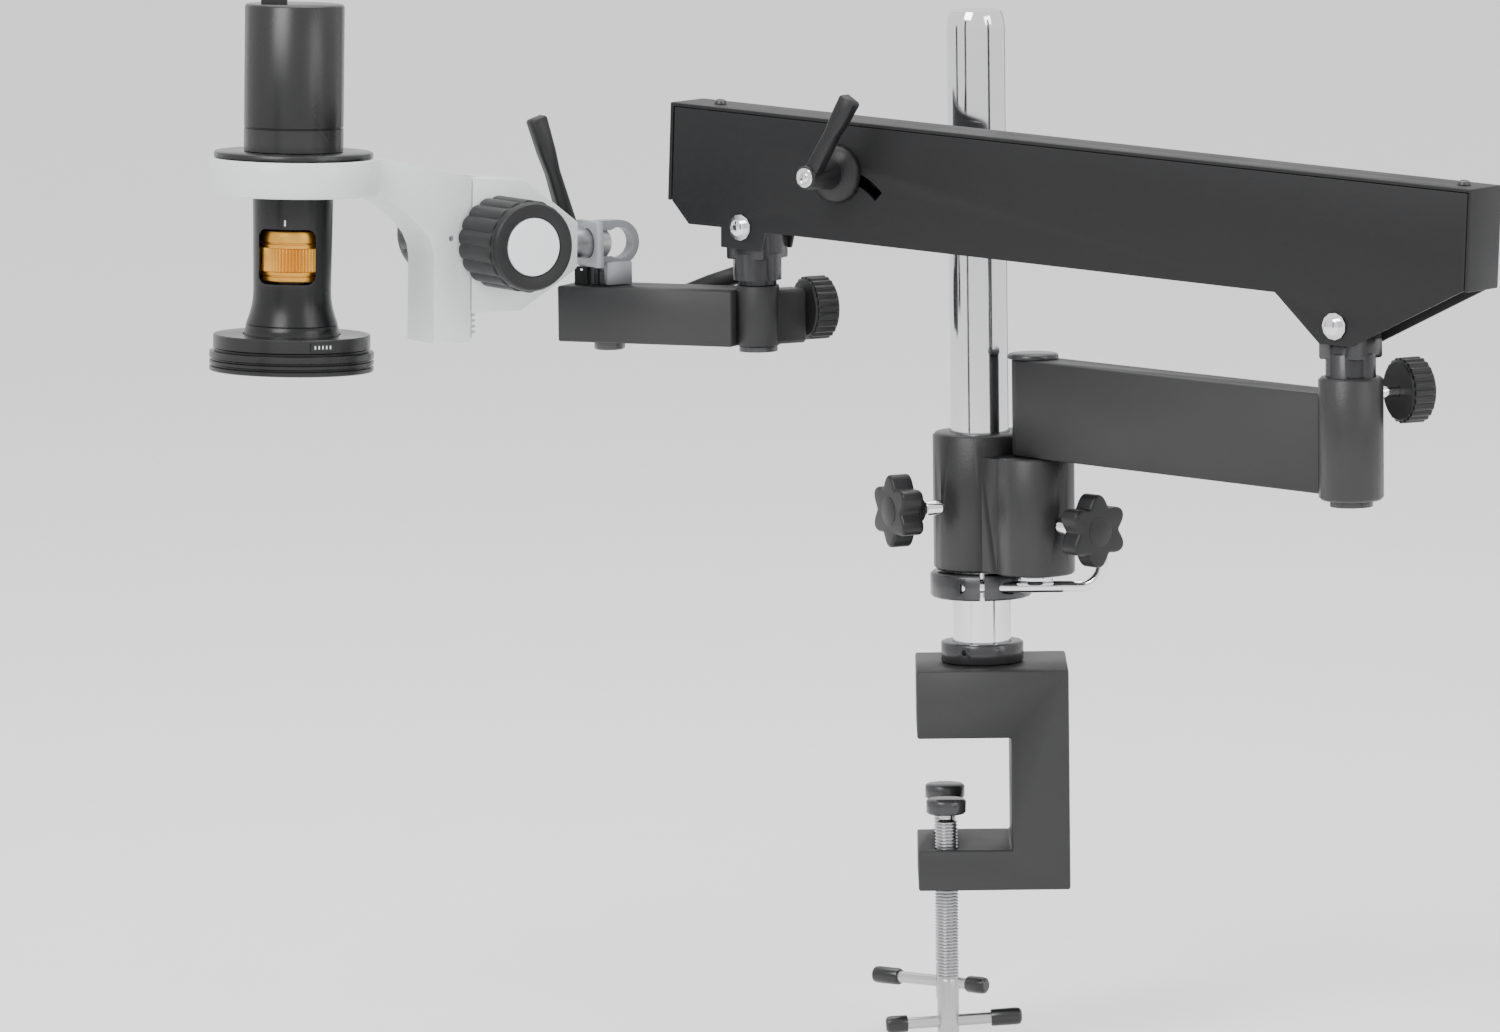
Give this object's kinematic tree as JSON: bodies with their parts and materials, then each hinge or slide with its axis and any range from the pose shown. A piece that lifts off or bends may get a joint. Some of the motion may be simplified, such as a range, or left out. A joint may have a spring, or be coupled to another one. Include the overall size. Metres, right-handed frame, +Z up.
{
  "type": "articulating arm inspection microscope",
  "caption": "Digital inspection microscope with ring light on a focusing rack, carried by a three-link articulating arm on a pillar with a desk clamp.",
  "frame": {"origin": "on the pillar's axis, at the underside of the clamp's upper jaw", "axes": "+Z up along the pillar, +X towards the clamp's back leg, -Y is the front"},
  "size_m": [0.6858, 0.3581, 0.5785],
  "materials": {
    "powder_coat": "fine textured black powder coat",
    "black_oxide": "black oxide",
    "black_plastic": "moulded",
    "black_rubber": "fluted grip",
    "chrome": "polished",
    "steel": "plain",
    "grey_paint": "satin grey",
    "white_paint": "textured off-white",
    "white_plastic": "smooth",
    "anodised_black": "satin black anodised",
    "anodised_brass": "satin gold",
    "optical_glass": "clear",
    "diffuser": "frosted"
  },
  "bodies": {
    "desk_clamp": {"clamp_frame": "powder_coat", "pillar": "chrome", "base_collar": "black_oxide"},
    "front_pad": {"front_clamp_pad": "black_oxide"},
    "front_screw": {"front_clamp_screw": "steel"},
    "front_bar": {"front_tommy_bar": "steel"},
    "rear_pad": {"rear_clamp_pad": "black_oxide"},
    "rear_screw": {"rear_clamp_screw": "steel"},
    "rear_bar": {"rear_tommy_bar": "steel"},
    "safety_stop": {"safety_collar": "black_oxide"},
    "safety_lever": {"safety_lever_rod": "chrome"},
    "hub": {"hub_casting": "powder_coat"},
    "pillar_lock": {"pillar_lock_knob": "black_plastic", "pillar_lock_stud": "chrome"},
    "arm_lock": {"arm_lock_knob": "black_plastic", "arm_lock_stud": "chrome"},
    "lower_arm": {"lower_arm": "powder_coat", "arm_pivot_pin": "black_oxide", "arm_pivot_washer": "chrome", "elbow_socket": "powder_coat"},
    "elbow_lock": {"elbow_lock_knob": "black_plastic"},
    "elbow_post": {"elbow_post": "black_oxide", "elbow_post_retainer": "black_oxide", "elbow_link_pin": "steel"},
    "parallel_arm": {"parallel_arm_frame": "powder_coat", "parallel_arm_cover": "powder_coat", "wrist_cover_screw": "black_oxide", "elbow_cover_screw": "black_oxide", "elbow_pivot_bolt": "chrome", "wrist_pivot_bolt": "chrome"},
    "link": {"inner_link": "steel", "tilt_lock_stud": "chrome", "tilt_lock_washer": "black_plastic"},
    "tilt_lock": {"tilt_lock_lever": "black_plastic"},
    "wrist_post": {"wrist_post": "black_oxide", "wrist_post_retainer": "black_oxide", "wrist_link_pin": "steel"},
    "forearm": {"forearm": "powder_coat"},
    "wrist_lock": {"wrist_lock_knob": "black_plastic"},
    "knuckle_lock": {"knuckle_lock_lever": "black_plastic"},
    "knuckle": {"knuckle": "grey_paint", "knuckle_bolt": "black_oxide", "rack_pin": "steel"},
    "rack_lock": {"rack_lock_lever": "black_plastic"},
    "rack": {"rack_housing": "white_paint"},
    "carrier": {"rack_carrier": "white_paint", "rack_gear": "steel"},
    "pinion": {"pinion_shaft": "steel", "focus_knob_near": "black_rubber", "focus_knob_far": "black_rubber", "knob_insert_near": "white_plastic", "knob_insert_far": "white_plastic"},
    "microscope": {"microscope_tube": "anodised_black", "mounting_flange": "anodised_black", "camera_body": "anodised_black", "objective_lens": "optical_glass"},
    "zoom": {"zoom_ring": "anodised_brass"},
    "ring_light": {"ring_light": "anodised_black", "ring_light_diffuser": "diffuser"}
  },
  "joints": [
    {"name": "front_pad_travel", "type": "slide", "parent": "desk_clamp", "child": "front_pad", "axis": [0, 0, 1], "range_m": [-0.018, 0.034]},
    {"name": "front_screw_turn", "type": "hinge", "parent": "front_pad", "child": "front_screw", "pos_m": [-0.021, -0.029, -0.1], "axis": [0, 0, 1], "range_deg": [-3240, 6120]},
    {"name": "front_bar_slide", "type": "slide", "parent": "front_screw", "child": "front_bar", "axis": [0.9952, 0.0871, 0.0436], "range_m": [-0.016, 0.015]},
    {"name": "rear_pad_travel", "type": "slide", "parent": "desk_clamp", "child": "rear_pad", "axis": [0, 0, 1], "range_m": [-0.018, 0.034]},
    {"name": "rear_screw_turn", "type": "hinge", "parent": "rear_pad", "child": "rear_screw", "pos_m": [-0.021, 0.027, -0.1], "axis": [0, 0, 1], "range_deg": [-3240, 6120]},
    {"name": "rear_bar_slide", "type": "slide", "parent": "rear_screw", "child": "rear_bar", "axis": [0.8192, -0.5736, 0], "range_m": [-0.007, 0.024]},
    {"name": "collar_height", "type": "slide", "parent": "desk_clamp", "child": "safety_stop", "axis": [0, 0, 1], "range_m": [-0.024, 0.2]},
    {"name": "safety_lever_turn", "type": "hinge", "parent": "safety_stop", "child": "safety_lever", "pos_m": [0, -0.0228, 0.0802], "axis": [1, 0, 0], "range_deg": [-60, 120]},
    {"name": "hub_turn", "type": "hinge", "parent": "safety_stop", "child": "hub", "pos_m": [0, 0, 0.12], "axis": [0, 0, 1], "range_deg": [-180, 180]},
    {"name": "pillar_lock_turn", "type": "hinge", "parent": "hub", "child": "pillar_lock", "pos_m": [0, 0, 0.1235], "axis": [-0.891, -0.454, 0], "range_deg": [-30, 360]},
    {"name": "arm_lock_turn", "type": "hinge", "parent": "hub", "child": "arm_lock", "pos_m": [0.029, -0.026, 0.116], "axis": [0.6561, -0.7547, 0], "range_deg": [-30, 360]},
    {"name": "lower_arm_swing", "type": "hinge", "parent": "hub", "child": "lower_arm", "pos_m": [0.029, -0.026, 0.15], "axis": [0, 0, 1], "range_deg": [-55, 105]},
    {"name": "elbow_lock_turn", "type": "hinge", "parent": "lower_arm", "child": "elbow_lock", "pos_m": [0.19125, -0.22143, 0.2065], "axis": [0.891, 0.454, 0], "range_deg": [-30, 360]},
    {"name": "elbow_swing", "type": "hinge", "parent": "lower_arm", "child": "elbow_post", "pos_m": [0.19125, -0.22143, 0.18], "axis": [0, 0, -1], "range_deg": [-320, 6]},
    {"name": "arm_tilt", "type": "hinge", "parent": "elbow_post", "child": "parallel_arm", "pos_m": [0.19125, -0.22143, 0.2435], "axis": [0.5821, 0.8131, 0], "range_deg": [-25, 13.5]},
    {"name": "link_tilt", "type": "hinge", "parent": "elbow_post", "child": "link", "pos_m": [0.19125, -0.22143, 0.2815], "axis": [0.5821, 0.8131, 0], "range_deg": [-25, 13.5]},
    {"name": "tilt_lock_turn", "type": "hinge", "parent": "link", "child": "tilt_lock", "pos_m": [-0.0768, -0.04797, 0.3107], "axis": [-0.5821, -0.8131, 0], "range_deg": [-60, 60]},
    {"name": "wrist_level", "type": "hinge", "parent": "parallel_arm", "child": "wrist_post", "pos_m": [-0.12073, 0.00193, 0.27863], "axis": [0.5821, 0.8131, 0], "range_deg": [-13.5, 25]},
    {"name": "forearm_swing", "type": "hinge", "parent": "wrist_post", "child": "forearm", "pos_m": [-0.12073, 0.00193, 0.23], "axis": [0, 0, 1], "range_deg": [-105, 90]},
    {"name": "wrist_lock_turn", "type": "hinge", "parent": "forearm", "child": "wrist_lock", "pos_m": [-0.12073, 0.00193, 0.2315], "axis": [0.891, 0.454, 0], "range_deg": [-30, 360]},
    {"name": "knuckle_lock_turn", "type": "hinge", "parent": "forearm", "child": "knuckle_lock", "pos_m": [-0.2011, 0.05504, 0.227], "axis": [0.4051, 0.9143, 0], "range_deg": [-60, 30]},
    {"name": "knuckle_swing", "type": "hinge", "parent": "forearm", "child": "knuckle", "pos_m": [-0.2031, 0.03843, 0.24], "axis": [0, 0, -1], "range_deg": [-40, 90]},
    {"name": "rack_lock_turn", "type": "hinge", "parent": "knuckle", "child": "rack_lock", "pos_m": [-0.21517, 0.04532, 0.2667], "axis": [-0.5, 0.866, 0], "range_deg": [-18, 90]},
    {"name": "rack_roll", "type": "hinge", "parent": "knuckle", "child": "rack", "pos_m": [-0.2031, 0.03843, 0.2667], "axis": [0.8656, 0.4998, -0.0314], "range_deg": [-90, 90]},
    {"name": "focus", "type": "slide", "parent": "rack", "child": "carrier", "axis": [0.0272, 0.0157, 0.9995], "range_m": [-0.025, 0.02]},
    {"name": "focus_knob_turn", "type": "hinge", "parent": "rack", "child": "pinion", "pos_m": [-0.27, -0.00019, 0.27293], "axis": [-0.5, 0.866, 0], "range_deg": [-190.99, 152.79]},
    {"name": "microscope_turn", "type": "hinge", "parent": "carrier", "child": "microscope", "pos_m": [-0.37146, -0.05877, 0.27281], "axis": [0.0272, 0.0157, 0.9995], "range_deg": [-170, 170]},
    {"name": "zoom_turn", "type": "hinge", "parent": "microscope", "child": "zoom", "pos_m": [-0.37146, -0.05877, 0.27281], "axis": [0.0272, 0.0157, 0.9995], "range_deg": [-60, 60]},
    {"name": "ring_light_twist", "type": "hinge", "parent": "microscope", "child": "ring_light", "pos_m": [-0.37146, -0.05877, 0.27281], "axis": [0.0272, 0.0157, 0.9995], "range_deg": [0, 25]}
  ],
  "couplings": [
    {"joint": "front_pad_travel", "follows": "front_screw_turn", "m_per_rad": 0.00031831},
    {"joint": "rear_pad_travel", "follows": "rear_screw_turn", "m_per_rad": 0.00031831},
    {"joint": "link_tilt", "follows": "arm_tilt", "ratio": 1},
    {"joint": "wrist_level", "follows": "arm_tilt", "ratio": -1},
    {"joint": "focus_knob_turn", "follows": "focus", "rad_per_m": 133.33}
  ]
}
